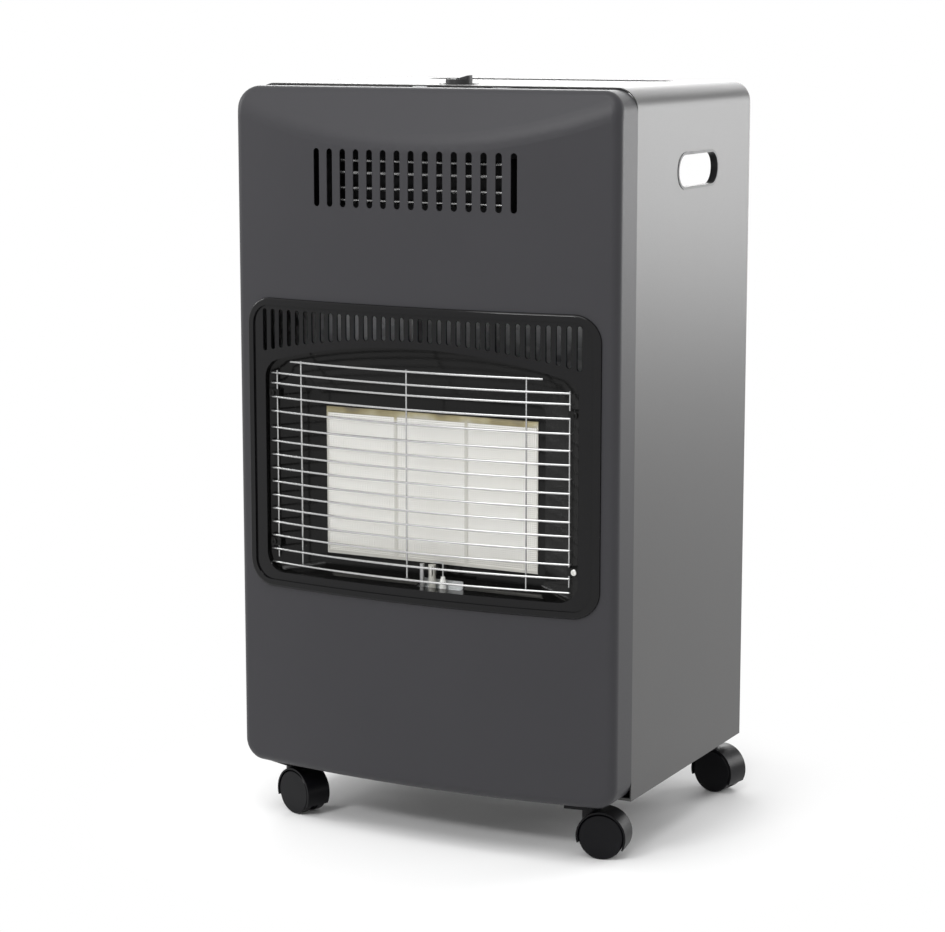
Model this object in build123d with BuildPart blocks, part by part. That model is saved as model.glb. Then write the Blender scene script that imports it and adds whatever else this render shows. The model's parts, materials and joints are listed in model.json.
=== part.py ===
from build123d import *
import math
import os

# A portable gas cabinet heater on four twin-wheel castors. The frame is millimetres, +Z up, the origin
# on the floor below the middle of the case, the front facing -Y and the viewer's right hand +X.

# driving dimensions of the case
case_width = 415.0
case_height = 682.0
castor_lift = 58.0
side_depth = 282.0
edge_depth = 40.0
panel_bow = 20.0
roof_step = 2.0
sheet = 1.2
corner_radius = 21.0
face_blend = 10.0
flange = 14.0
running = 0.05
loose = 0.3

# the leaning band along the top of the front panel
band_slope = 0.54
band_top_depth = 32.4
band_blend = 40.0

# air slots above the window
slot_count = 15
slot_pitch = 15.2
slot_width = 6.5
slot_length = 56.0
slot_foot = 568.0

# window bezel, its louvres and the arched recess
bezel_margin = 15.0
bezel_width = case_width - 2 * bezel_margin
bezel_height = 290.0
bezel_foot = 186.0
bezel_corner = 27.0
bezel_proud = 3.0
bezel_wall = 2.0
rim_width = 7.0
rim_height = 1.8
rim_blend = 2.4
louvre_count = 35
louvre_pitch = 10.085
louvre_width = 5.0
louvre_top = 465.0
louvre_middle_foot = 442.5
louvre_end_foot = 423.0
recess_border = 21.0
recess_half = bezel_width / 2 - recess_border
recess_foot = 201.0
recess_crown = 436.0
recess_corner = 20.0
recess_arch = 600.0

# burner: three plaques side by side, each in its own pressed box
plaque_count = 3
box_width = 77.8
box_height = 148.0
box_foot = 220.0
box_front_depth = 21.8
box_back_depth = -10.0
box_wall = 1.4
plaque_thick = 12.0
plaque_set_back = 0.6
cement = 0.1
tray_back_depth = 19.5
tray_floor_half = 124.0
tray_floor_foot = 208.0
tray_floor_crown = 388.0
tray_floor_arch = 1500.0
tray_floor_corner = 7.0
collar_depth = 40.0
frame_border = 14.0
frame_sleeve = 8.0
tube_radius = 8.5
tube_depth = 0.5
tube_drop = 52.0
bell_radius = 12.0
bell_height = 10.0
jet_gap = 5.0
jet_height = 12.0
jet_radius = 4.0
jet_taper = 12.0
jet_hex = 6.0
strap_side = 60.0
strap_width = 12.0
manifold_radius = 6.0
manifold_reach = 92.0

# pilot, in the slot in the tray's floor
pilot_depth = 39.5
bracket_lap = 8.0
pilot_slot_side = 19.0
pilot_slot_length = 50.0
pilot_slot_width = 11.0
pilot_side = 11.0
pilot_height = 22.7
pilot_radius = 3.8
ceramic_side = 23.0
probe_side = 0.0
feed_drop = 9.0
ceramic_radius = 3.2
probe_radius = 2.4
pilot_tab = 8.0
pilot_slots = 12.0
pilot_slot = 1.2
ceramic_height = 12.0
ceramic_below = 3.0
ceramic_taper = 12.0
spark_radius = 0.8
spark_rise = 2.6
spark_bend = 1.8

# inner uprights: the heat shield and the gas pipes in front of it
shield_depth = -25.0
shield_top = 570.0
pipe_depth = -17.5
supply_side = -39.0
probe_line_side = -28.0
pilot_line_side = 39.0
lead_side = 50.0
supply_radius = 4.0
pilot_tube_radius = 2.0
probe_line_radius = 1.2
lead_radius = 1.8

# gas valve under the roof
valve_width = 44.0
valve_deep = 28.0
valve_height = 36.0
valve_top = 646.0
gland_radius = 8.0
gland_height = 4.0
spindle_seat = 20.0
valve_corner = 5.0
valve_cap = 6.0
bracket_reach = 44.0
bracket_deep = 30.0
collar_radius = 7.0
collar_height = 5.0
igniter_side = 34.0
igniter_radius = 8.0
igniter_height = 42.0
tail_radius = 4.0
tail_length = 26.0
tail_hex = 8.0
tail_nut = 7.0
igniter_boot = 6.0
pass_rise = 6.0
valve_line_side = 12.0

# wire guard
guard_wires = 15
guard_pitch = 13.65
guard_foot = 210.0
guard_inset = 10.9
guard_tail = 2.4
guard_bow = 17.0
guard_end_depth = 44.3
guard_brace = 124.0
guard_brace_shift = -6.0
brace_radius = 0.9
guard_top_reach = 139.0
guard_top_step = 11.8
guard_over = 1.0
weld_gap = 0.05
clip_low_row = 1
clip_width = 8.0
clip_across = 12.0
clip_lip = 0.8
screw_head = 3.0
screw_rise = 1.8
screw_shift = 1.5
rod_heights = (612.0, 600.0, 585.0, 573.0)
rod_depth = 33.0
rod_reach = 98.0
baffle_depth = 8.0
baffle_reach = 140.0
baffle_foot = 540.0
baffle_height = 102.0
base_screw_shares = (0.2, 0.5, 0.8)
rod_radius = 2.0
rod_margin = 6.0
wire_radius = 1.15

# hand holes in the sides, and the opening at the back of the roof
hand_length = 102.0
hand_height = 36.0
hand_back = 147.0
hand_foot = 583.5
insert_lip = 2.5
insert_depth = 7.0
insert_proud = 0.6
roof_opening_length = 280.0
roof_opening_width = 46.0
roof_opening_back = 240.0
roof_opening_lip = 6.0
base_thick = 1.5
base_slot_pitch = 90.0
base_slot_spread = 120.0
base_slot_length = 46.0
base_slot_width = 10.0
socket_wall = 1.5
rear_height = 420.0
rear_sheet = 1.0
rear_fold = 5.0
grip_drop = 40.0
grip_length = 110.0
grip_width = 30.0
guide_height = 440.0

# knob in its dish
knob_back = 39.0
knob_radius = 13.0
knob_height = 11.5
knob_proud = 8.8
knob_travel = 3.5
dish_radius = 17.8
dish_depth = 9.0
spindle_radius = 4.0
spindle_flat = 2.4
dish_lip = 1.6
dish_rise = 0.6
dish_wall = 1.6
knob_cap = 3.0
knob_edge = 1.0
knob_bar = 12.0
knob_disc = 7.7

# castors
wheel_radius = 22.5
wheel_width = 10.4
hood_radius = 25.0
hood_width = 28.0
hood_wall = 1.8
web_thick = 6.0
castor_trail = 12.0
stem_radius = 5.5
stem_length = 34.0
boss_radius = 10.0
notch_gap = 2.0
axle_radius = 2.5
axle_short = 4.0
hub_radius = 7.0
hood_trail_drop = 0.55
hood_lead_drop = 0.3
stem_foot = 46.0
wheel_edge = 1.2
lever_drop = 8.0
lever_arm = 3.6
lever_gap = 1.2
lever_thick = 5.0
lever_length = 29.0
lever_heel = 3.5
lever_lip = 3.0
lever_corner = 2.0
lever_rise = 3.0
trunnion_radius = 1.5
front_castor_inset = 39.5
front_castor_back = -3.5
rear_castor_inset = 26.5
rear_castor_back = 263.0

# places worked out from them
half_width = case_width / 2
guard_half = recess_half - guard_inset
front_castor_side = half_width - front_castor_inset
rear_castor_side = half_width - rear_castor_inset
overall_depth = side_depth + edge_depth + panel_bow + bezel_proud
face_y = bezel_proud - overall_depth / 2
edge_y = face_y + panel_bow
seam_y = edge_y + edge_depth
back_y = seam_y + side_depth
foot_z = castor_lift
top_z = castor_lift + case_height
roof_z = top_z + roof_step
bow_radius = (half_width**2 + panel_bow**2) / (2 * panel_bow)
bow_centre_y = face_y + bow_radius


def save(piece, label):
    piece.label = label
    export_step(piece, f"parts/{label}.step")


os.makedirs("parts", exist_ok=True)


def panel_form(inset, back):
    # the bowed front, leaning band and blends, drawn in by inset and cut off square at the back
    with BuildPart() as form:
        with BuildSketch(Plane.XZ.offset(-back)):
            with Locations((0, foot_z + case_height / 2)):
                RectangleRounded(case_width - 2 * inset, case_height - 2 * inset, corner_radius - inset)
        extrude(amount=back - face_y)
        with BuildSketch(Plane.XY.offset(foot_z)):
            with Locations((0, bow_centre_y)):
                Circle(bow_radius - inset)
        extrude(amount=case_height, mode=Mode.INTERSECT)
        band_y = seam_y - band_top_depth + inset * math.hypot(1, band_slope)
        reach = edge_depth + panel_bow
        with BuildSketch(Plane.YZ):
            with BuildLine():
                Polyline(
                    (band_y + band_slope * reach, top_z + reach),
                    (band_y - band_slope * 2 * reach, top_z - 2 * reach),
                    (band_y - 2 * reach, top_z - 2 * reach),
                    (band_y - 2 * reach, top_z + reach),
                    close=True,
                )
            make_face()
        extrude(amount=case_width, both=True, mode=Mode.SUBTRACT)
        leaning = form.faces().filter_by(lambda f: f.normal_at().Z > 0.3 and f.normal_at().Y < -0.3)
        fillet(leaning[0].edges().sort_by(Axis.Z)[0], band_blend - inset)
        # the rim is what bounds the bowed, blended and leaning faces together
        skins = form.faces().filter_by(lambda f: f.normal_at().Y < -0.3)
        owners = {}
        for skin in skins:
            for edge in skin.edges():
                middle = edge @ 0.5
                place = (round(middle.X, 1), round(middle.Y, 1), round(middle.Z, 1))
                owners.setdefault(place, []).append(edge)
        rim = [edges[0] for edges in owners.values() if len(edges) == 1]
        fillet(rim, face_blend - inset)
    return form.part


def bow_slab(front, back, width, height, foot, corner):
    # a rounded rectangle standing between two faces that follow the front panel's bow;
    # front and back are distances outside the panel's face
    with BuildPart() as slab:
        with BuildSketch(Plane.XZ.offset(-seam_y)):
            with Locations((0, foot_z + foot + height / 2)):
                RectangleRounded(width, height, corner)
        extrude(amount=seam_y - face_y + front + 1)
        with BuildSketch(Plane.XY.offset(foot_z)):
            with Locations((0, bow_centre_y)):
                Circle(bow_radius + front)
                Circle(bow_radius + back, mode=Mode.SUBTRACT)
        extrude(amount=case_height, mode=Mode.INTERSECT)
    return slab.part


def castor_places():
    # name, swivel axis x and y, and the way the castor trails, as it is left in the picture
    front_y = seam_y + front_castor_back
    rear_y = seam_y + rear_castor_back
    return [
        ("front_left", -front_castor_side, front_y, -20.0),
        ("front_right", front_castor_side, front_y, 10.0),
        ("rear_left", -rear_castor_side, rear_y, 191.0),
        ("rear_right", rear_castor_side, rear_y, -11.0),
    ]


# ---- front panel: a bowed, pressed tray with the air slots and the window cut in it
window_width = bezel_width - 2 * rim_width
window_height = bezel_height - 2 * rim_width
outer_form = panel_form(0, seam_y)
inner_form = panel_form(sheet, seam_y + 1)
with BuildPart() as front_panel:
    add(outer_form)
    add(inner_form, mode=Mode.SUBTRACT)
    with BuildSketch(Plane.XZ.offset(-seam_y)):
        with Locations((0, foot_z + slot_foot + slot_length / 2)):
            with GridLocations(slot_pitch, 0, slot_count, 1):
                SlotOverall(slot_length, slot_width, rotation=90)
        with Locations((0, foot_z + bezel_foot + bezel_height / 2)):
            RectangleRounded(window_width, window_height, bezel_corner - rim_width)
    extrude(amount=overall_depth, mode=Mode.SUBTRACT)
    # notches in the foot for the front castors' necks
    with BuildSketch(Plane.XY.offset(foot_z)):
        for side in (-front_castor_side, front_castor_side):
            with Locations((side, seam_y + front_castor_back)):
                Circle(boss_radius + notch_gap)
    extrude(amount=sheet, mode=Mode.SUBTRACT)
save(front_panel.part, "front_panel")

# ---- cabinet shell: one sheet bent over both sides and the roof, with turned-in edges
shell_height = roof_z - foot_z
inner_half = half_width - sheet
hand_y = seam_y + hand_back
hand_z = foot_z + hand_foot + hand_height / 2
roof_opening_y = seam_y + roof_opening_back
knob_y = seam_y + knob_back
guide_gap = 2.4
guide_y = back_y - 2 * sheet - guide_gap
base_z = foot_z + sheet
floor_z = base_z + base_thick
with BuildPart() as cabinet_shell:
    with BuildSketch(Plane.XZ.offset(-back_y)):
        with Locations((0, foot_z)):
            RectangleRounded(case_width, 2 * shell_height, corner_radius)
            RectangleRounded(
                case_width - 2 * sheet, 2 * (shell_height - sheet), corner_radius - sheet, mode=Mode.SUBTRACT
            )
            Rectangle(case_width, shell_height, align=(Align.CENTER, Align.MAX), mode=Mode.SUBTRACT)
    extrude(amount=side_depth)
    # foot flanges under the base plate
    with BuildSketch(Plane.XY.offset(foot_z)):
        with Locations((-half_width, seam_y)):
            Rectangle(flange, side_depth, align=Align.MIN)
        with Locations((half_width - flange, seam_y)):
            Rectangle(flange, side_depth, align=Align.MIN)
    extrude(amount=sheet)
    # rear flanges down both sides and along the roof
    with BuildSketch(Plane.XZ.offset(-back_y)):
        with Locations((0, foot_z)):
            RectangleRounded(case_width - sheet, 2 * shell_height - sheet, corner_radius - sheet / 2)
            Rectangle(case_width - 2 * flange, 2 * (shell_height - flange), mode=Mode.SUBTRACT)
            Rectangle(case_width, shell_height, align=(Align.CENTER, Align.MAX), mode=Mode.SUBTRACT)
    extrude(amount=sheet)
    # guide strips that keep the rear panel against the rear flanges
    with BuildSketch(Plane.XY.offset(floor_z)):
        with Locations((sheet / 2 - half_width, guide_y), (half_width - sheet / 2 - flange, guide_y)):
            Rectangle(flange, sheet, align=Align.MIN)
    extrude(amount=guide_height)
    with BuildSketch(Plane.YZ.offset(-half_width)):
        with Locations((hand_y, hand_z)):
            SlotOverall(hand_length, hand_height)
    extrude(amount=case_width, mode=Mode.SUBTRACT)
    with BuildSketch(Plane.XY.offset(roof_z - sheet)):
        with Locations((0, roof_opening_y)):
            SlotOverall(roof_opening_length, roof_opening_width)
        with Locations((0, knob_y)):
            Circle(dish_radius)
    extrude(amount=sheet, mode=Mode.SUBTRACT)
    # the roof opening's turned-down edge
    with BuildSketch(Plane.XY.offset(roof_z)):
        with Locations((0, roof_opening_y)):
            SlotOverall(roof_opening_length, roof_opening_width)
            SlotOverall(roof_opening_length - 2 * sheet, roof_opening_width - 2 * sheet, mode=Mode.SUBTRACT)
    extrude(amount=-roof_opening_lip)
save(cabinet_shell.part, "cabinet_shell")

# ---- hand hole inserts: a thin lip outside and a short obround sleeve inside
for side, name in ((-1, "handle_insert_left"), (1, "handle_insert_right")):
    with BuildPart() as handle_insert:
        with BuildSketch(Plane.YZ.offset(side * (half_width + insert_proud))):
            with Locations((hand_y, hand_z)):
                SlotOverall(hand_length, hand_height)
                SlotOverall(hand_length - 2 * insert_lip, hand_height - 2 * insert_lip, mode=Mode.SUBTRACT)
        extrude(amount=-side * (insert_proud + insert_depth))
        with BuildSketch(Plane.YZ.offset(side * inner_half)):
            with Locations((hand_y, hand_z)):
                SlotOverall(hand_length + 2 * insert_lip, hand_height + 2 * insert_lip)
                SlotOverall(hand_length - 2 * insert_lip, hand_height - 2 * insert_lip, mode=Mode.SUBTRACT)
        extrude(amount=-side * insert_lip)
    save(handle_insert.part, name)

# ---- window bezel: a bowed, louvred frame with a raised rim round it and an arched recess
field_proud = bezel_proud - rim_height
field_back = field_proud - bezel_wall


def arched_outline(half, foot, crown, arch, corner):
    # a rounded opening with an arched top, drawn on the XZ plane
    shoulder = crown - arch + math.sqrt(arch**2 - half**2)
    with BuildSketch(Plane.XZ) as outline:
        with BuildLine():
            left, right = (-half, foot_z + shoulder), (half, foot_z + shoulder)
            Polyline(left, (-half, foot_z + foot), (half, foot_z + foot), right)
            ThreePointArc(right, (0, foot_z + crown), left)
        make_face()
        fillet(outline.vertices(), corner)
    return outline.sketch


def recess_outline(grow):
    # the recess where it meets the bezel, grown outwards by grow
    return arched_outline(
        recess_half + grow,
        recess_foot - grow,
        recess_crown + grow,
        recess_arch + grow,
        recess_corner + grow,
    )


def recess_floor_outline(grow):
    # the smaller flat at the back of the recess
    return arched_outline(
        tray_floor_half + grow,
        tray_floor_foot - grow,
        tray_floor_crown + grow,
        tray_floor_arch + grow,
        tray_floor_corner + grow,
    )


with BuildPart() as window_bezel:
    add(bow_slab(bezel_proud, 0, bezel_width, bezel_height, bezel_foot, bezel_corner))
    outer_rim = window_bezel.faces().sort_by(Axis.Y)[0].edges()
    fillet(outer_rim, rim_blend)
    field_width = bezel_width - 2 * rim_width
    field_height = bezel_height - 2 * rim_width
    field_corner = bezel_corner - rim_width
    field_foot = bezel_foot + rim_width
    hollow = bow_slab(bezel_proud + 1, field_proud, field_width, field_height, field_foot, field_corner)
    add(hollow, mode=Mode.SUBTRACT)
    add(
        bow_slab(
            field_proud,
            field_back,
            field_width - 2 * loose,
            field_height - 2 * loose,
            field_foot + loose,
            field_corner - loose,
        )
    )
    with BuildSketch(Plane.XZ.offset(-seam_y)):
        for louvre in range(louvre_count):
            side = (louvre - (louvre_count - 1) / 2) * louvre_pitch
            rise = (louvre_middle_foot - louvre_end_foot) * (side / recess_half) ** 2
            low = foot_z + louvre_middle_foot - rise
            high = foot_z + louvre_top
            with Locations((side, (low + high) / 2)):
                SlotOverall(high - low, louvre_width, rotation=90)
    extrude(amount=overall_depth, mode=Mode.SUBTRACT)
    with BuildSketch(Plane.XZ.offset(-seam_y)):
        add(recess_outline(0))
    extrude(amount=overall_depth, mode=Mode.SUBTRACT)
save(window_bezel.part, "window_bezel")

# ---- reflector tray: the enamelled recess behind the bezel, open in front, with a window for the burner
tray_front_y = face_y - bezel_proud
tray_back_y = seam_y - tray_back_depth
burner_width = plaque_count * box_width
burner_z = foot_z + box_foot + box_height / 2
pilot_y = seam_y - pilot_depth
tray_floor_z = foot_z + recess_foot
collar_y = seam_y - collar_depth


def tray_form(grow):
    # the flared recess with a straight collar in front, grown outwards by grow
    back = tray_back_y - sheet + grow
    with BuildPart() as form:
        with BuildSketch(Plane.XZ.offset(-back)):
            add(recess_floor_outline(grow))
        with BuildSketch(Plane.XZ.offset(-collar_y)):
            add(recess_outline(grow))
        loft(ruled=True)
        with BuildSketch(Plane.XZ.offset(-collar_y)):
            add(recess_outline(grow))
        extrude(amount=collar_y - tray_front_y)
    return form.part


tray_outside = tray_form(sheet)
tray_inside = tray_form(0)
with BuildPart() as reflector_tray:
    add(tray_outside)
    add(tray_inside, mode=Mode.SUBTRACT)
    # the front edge follows the back of the bezel
    with BuildSketch(Plane.XY.offset(foot_z)):
        with Locations((0, bow_centre_y)):
            Circle(bow_radius + field_back)
    extrude(amount=case_height, mode=Mode.INTERSECT)
    with BuildSketch(Plane.XZ.offset(-tray_back_y)):
        with Locations((0, burner_z)):
            Rectangle(burner_width + 2 * loose, box_height + 2 * loose)
    extrude(amount=2 * sheet, mode=Mode.SUBTRACT)
    # slot in the floor for the pilot group
    with BuildSketch(Plane.XY.offset(tray_floor_z - sheet)):
        with Locations((pilot_slot_side, pilot_y)):
            Rectangle(pilot_slot_length, pilot_slot_width)
    extrude(amount=tray_floor_foot - recess_foot, mode=Mode.SUBTRACT)
save(reflector_tray.part, "reflector_tray")

# ---- burner frame: a flat ring on the back of the tray with a short sleeve that grips the three boxes
with BuildPart() as burner_frame:
    with BuildSketch(Plane.XZ.offset(-tray_back_y)):
        with Locations((0, burner_z)):
            Rectangle(burner_width + 2 * frame_border, box_height + 2 * frame_border)
            Rectangle(burner_width, box_height, mode=Mode.SUBTRACT)
    extrude(amount=-sheet)
    with BuildSketch(Plane.XZ.offset(-tray_back_y)):
        with Locations((0, burner_z)):
            Rectangle(burner_width + 2 * sheet, box_height + 2 * sheet)
            Rectangle(burner_width, box_height, mode=Mode.SUBTRACT)
    extrude(amount=-frame_sleeve)
save(burner_frame.part, "burner_frame")

# ---- burner boxes with their mixing tubes, and the ceramic plaques set in their mouths
box_front_y = seam_y - box_front_depth
box_back_y = seam_y - box_back_depth
tube_y = seam_y - tube_depth
tube_foot_z = foot_z + box_foot - tube_drop
box_names = ("left", "centre", "right")
box_sides = [(index - (plaque_count - 1) / 2) * box_width for index in range(plaque_count)]
for name, side in zip(box_names, box_sides):
    with BuildPart() as burner_box:
        with BuildSketch(Plane.XZ.offset(-box_back_y)):
            with Locations((side, burner_z)):
                Rectangle(box_width, box_height)
        extrude(amount=box_back_y - box_front_y)
        offset(amount=-box_wall, openings=burner_box.faces().sort_by(Axis.Y)[0])
        with BuildSketch(Plane.XY.offset(foot_z + box_foot + box_wall)):
            with Locations((side, tube_y)):
                Circle(tube_radius)
        extrude(amount=-tube_drop - box_wall)
        # flared mouth at the tube's lower end
        with BuildSketch(Plane.XY.offset(tube_foot_z)):
            with Locations((side, tube_y)):
                Circle(bell_radius)
        with BuildSketch(Plane.XY.offset(tube_foot_z + bell_height)):
            with Locations((side, tube_y)):
                Circle(tube_radius)
        loft()
        with BuildSketch(Plane.XY.offset(tube_foot_z)):
            with Locations((side, tube_y)):
                Circle(tube_radius - box_wall)
        extrude(amount=tube_drop + 2 * box_wall, mode=Mode.SUBTRACT)
        with BuildSketch(Plane.XY.offset(tube_foot_z)):
            with Locations((side, tube_y)):
                Circle(bell_radius - box_wall)
        with BuildSketch(Plane.XY.offset(tube_foot_z + bell_height)):
            with Locations((side, tube_y)):
                Circle(tube_radius - box_wall)
        loft(mode=Mode.SUBTRACT)
    save(burner_box.part, f"burner_box_{name}")

for name, side in zip(box_names, box_sides):
    with BuildPart() as burner_plaque:
        with BuildSketch(Plane.XZ.offset(-box_front_y - plaque_set_back)):
            with Locations((side, burner_z)):
                Rectangle(box_width - 2 * (box_wall + cement), box_height - 2 * (box_wall + cement))
        extrude(amount=-plaque_thick)
    save(burner_plaque.part, f"burner_plaque_{name}")


def pipe(points, bend, radius):
    # a round pipe along straight runs with a bend of the same radius at each corner
    with BuildPart() as run:
        with BuildLine() as route:
            FilletPolyline(*points, radius=bend)
        with BuildSketch(Plane(origin=route.line @ 0, z_dir=route.line % 0)):
            Circle(radius)
        sweep()
    return run.part


# ---- heat shield: a full-width sheet between the burner and the bottle bay, flanged to the sides
shield_y = seam_y - shield_depth
with BuildPart() as heat_shield:
    with BuildSketch(Plane.XY.offset(floor_z)):
        with Locations((0, shield_y)):
            Rectangle(2 * inner_half, sheet, align=(Align.CENTER, Align.MIN))
        for side in (-1, 1):
            with Locations((side * (inner_half - sheet / 2), shield_y)):
                Rectangle(sheet, flange, align=(Align.CENTER, Align.MIN))
    extrude(amount=foot_z + shield_top - floor_z)
save(heat_shield.part, "heat_shield")

# ---- gas manifold with its straps back to the heat shield, and the three jets standing on it
manifold_z = tube_foot_z - jet_gap - jet_height - manifold_radius
with BuildPart() as gas_manifold:
    with BuildSketch(Plane.YZ.offset(-manifold_reach)):
        with Locations((tube_y, manifold_z)):
            Circle(manifold_radius)
    extrude(amount=2 * manifold_reach)
    for side in box_sides:
        with BuildSketch(Plane.XY.offset(manifold_z)):
            with Locations((side, tube_y)):
                RegularPolygon(jet_hex, 6)
        extrude(amount=manifold_radius)
    for side in (-strap_side, strap_side):
        with BuildSketch(Plane.XY.offset(manifold_z - sheet / 2)):
            with Locations((side, tube_y)):
                Rectangle(strap_width, shield_y - tube_y, align=(Align.CENTER, Align.MIN))
        extrude(amount=sheet)
        with BuildSketch(Plane.XZ.offset(-shield_y)):
            with Locations((side, manifold_z)):
                Rectangle(strap_width, 3 * strap_width / 2)
        extrude(amount=sheet)
save(gas_manifold.part, "gas_manifold")

with BuildPart() as gas_jets:
    for side in box_sides:
        with BuildSketch(Plane.XY.offset(manifold_z + manifold_radius)):
            with Locations((side, tube_y)):
                RegularPolygon(jet_radius, 6)
        extrude(amount=jet_height / 2)
        with BuildSketch(Plane.XY.offset(manifold_z + manifold_radius + jet_height / 2)):
            with Locations((side, tube_y)):
                Circle(jet_radius * 0.8)
        extrude(amount=jet_height / 2, taper=jet_taper)
save(gas_jets.part, "gas_jets")

# ---- wire guard: bowed wires across the recess, welded to three braces and two hooked end uprights
guard_end_y = seam_y - guard_end_depth
guard_radius = (guard_half**2 + guard_bow**2) / (2 * guard_bow)
guard_centre_y = guard_end_y - guard_bow + guard_radius


def guard_y(side):
    # where the front layer of wires stands at a given distance from the middle
    return guard_centre_y - math.sqrt(guard_radius**2 - side**2)


def upright_y(side, radius):
    # where an upright of that radius stands when it touches the back of the bowed wires
    behind = wire_radius + radius + weld_gap
    return guard_y(side) + behind * guard_radius / math.sqrt(guard_radius**2 - side**2)


def bowed_wire(reach, height):
    with BuildPart() as wire:
        with BuildLine(Plane.XY.offset(height)) as route:
            ThreePointArc((-reach, guard_y(reach)), (0, guard_y(0)), (reach, guard_y(reach)))
        with BuildSketch(Plane(origin=route.line @ 0, z_dir=route.line % 0)):
            Circle(wire_radius)
        sweep()
    return wire.part


guard_low_z = foot_z + guard_foot
guard_high_z = guard_low_z + (guard_wires - 1) * guard_pitch
with BuildPart() as wire_guard:
    for row in range(guard_wires):
        add(bowed_wire(guard_half + guard_tail, guard_low_z + row * guard_pitch))
    add(bowed_wire(guard_top_reach, guard_high_z + guard_top_step))
    for place in (-guard_brace, 0, guard_brace):
        side = place + guard_brace_shift
        with BuildSketch(Plane.XY.offset(guard_low_z - 2 * wire_radius)):
            with Locations((side, upright_y(side, brace_radius))):
                Circle(brace_radius)
        extrude(amount=guard_high_z - guard_low_z + guard_top_step + 4 * wire_radius)
    for side in (-guard_half, guard_half):
        with BuildSketch(Plane.XY.offset(guard_low_z - guard_over)):
            with Locations((side, upright_y(side, wire_radius))):
                Circle(wire_radius)
        extrude(amount=guard_high_z - guard_low_z + 2 * guard_over)
save(wire_guard.part, "wire_guard")

# ---- seats that hold the guard's end uprights against the tray's flared walls, and their screws
end_upright_y = upright_y(guard_half, wire_radius)
clip_front_y = end_upright_y - wire_radius - clip_lip
clip_middle = guard_half + clip_across / 2 - 2 * wire_radius
clip_rows = (clip_low_row, guard_wires - 2 - clip_low_row)
clip_heights = [guard_low_z + (row + 0.5) * guard_pitch for row in clip_rows]
with BuildPart() as guard_clips:
    for side in (-1, 1):
        for height in clip_heights:
            with BuildSketch(Plane.XY.offset(height - clip_width / 2)):
                with Locations((side * clip_middle, clip_front_y)):
                    Rectangle(clip_across, seam_y - clip_front_y, align=(Align.CENTER, Align.MIN))
                with Locations((side * guard_half, end_upright_y)):
                    Circle(wire_radius + running, mode=Mode.SUBTRACT)
            extrude(amount=clip_width)
    add(tray_inside, mode=Mode.INTERSECT)
save(guard_clips.part, "guard_clips")

with BuildPart() as guard_screws:
    for side in (-1, 1):
        for height in clip_heights:
            with BuildSketch(Plane.XZ.offset(-clip_front_y)):
                with Locations((side * (clip_middle + screw_shift), height)):
                    Circle(screw_head)
            extrude(amount=screw_rise)
save(guard_screws.part, "guard_screws")

# ---- bright guard rods behind the air slots, between two side plates on a baffle
vent_low = foot_z + rod_heights[-1]
vent_high = foot_z + rod_heights[0]
rod_y = seam_y - rod_depth
baffle_y = seam_y - baffle_depth
with BuildPart() as vent_brackets:
    with BuildSketch(Plane.XZ.offset(-baffle_y)):
        with Locations((0, foot_z + baffle_foot)):
            Rectangle(2 * baffle_reach, baffle_height, align=(Align.CENTER, Align.MIN))
    extrude(amount=sheet)
    with BuildSketch(Plane.XY.offset(vent_low - rod_margin)):
        for side in (-1, 1):
            with Locations((side * (rod_reach + sheet / 2), baffle_y)):
                Rectangle(sheet, overall_depth, align=(Align.CENTER, Align.MAX))
    extrude(amount=vent_high - vent_low + 2 * rod_margin)
    with BuildSketch(Plane.XY.offset(foot_z)):
        with Locations((0, bow_centre_y)):
            Circle(bow_radius - sheet)
    extrude(amount=case_height, mode=Mode.INTERSECT)
save(vent_brackets.part, "vent_brackets")

with BuildPart() as vent_rods:
    with BuildSketch(Plane.YZ.offset(-rod_reach)):
        for height in rod_heights:
            with Locations((rod_y, foot_z + height)):
                Circle(rod_radius)
    extrude(amount=2 * rod_reach)
save(vent_rods.part, "vent_rods")

# ---- pilot group, standing on a bracket under the tray's floor and rising through the slot in it
pilot_foot = tray_floor_z - sheet
pilot_top = pilot_foot + pilot_height
with BuildPart() as pilot_bracket:
    with BuildSketch(Plane.XY.offset(pilot_foot)):
        with Locations((pilot_slot_side, pilot_y + pilot_slot_width / 2)):
            across = pilot_slot_length + 4 * sheet
            Rectangle(across, pilot_slot_width + bracket_lap, align=(Align.CENTER, Align.MAX))
        with Locations((pilot_side, pilot_y)):
            Circle(pilot_tube_radius, mode=Mode.SUBTRACT)
        with Locations((ceramic_side, pilot_y)):
            Circle(ceramic_radius, mode=Mode.SUBTRACT)
        with Locations((probe_side, pilot_y)):
            Circle(probe_radius, mode=Mode.SUBTRACT)
    extrude(amount=-sheet)
    # upright tab behind the flame
    with BuildSketch(Plane.XY.offset(pilot_foot)):
        with Locations((pilot_slot_side, pilot_y + pilot_slot_width / 2 - loose)):
            Rectangle(pilot_slot_length - 2 * sheet, sheet, align=(Align.CENTER, Align.MAX))
    extrude(amount=pilot_tab)
save(pilot_bracket.part, "pilot_bracket")

with BuildPart() as pilot_burner:
    with BuildSketch(Plane.XY.offset(pilot_foot)):
        with Locations((pilot_side, pilot_y)):
            Circle(pilot_radius)
    extrude(amount=pilot_height)
    # flame slots round the head, and a bored throat
    with BuildSketch(Plane.XY.offset(pilot_top - pilot_slots)):
        with Locations((pilot_side, pilot_y)):
            with PolarLocations(0, 3):
                Rectangle(2 * pilot_radius + 1, pilot_slot)
    extrude(amount=pilot_slots - sheet, mode=Mode.SUBTRACT)
    with BuildSketch(Plane.XY.offset(pilot_top - pilot_slots)):
        with Locations((pilot_side, pilot_y)):
            Circle(pilot_radius - sheet)
    extrude(amount=sheet)
save(pilot_burner.part, "pilot_burner")

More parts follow.
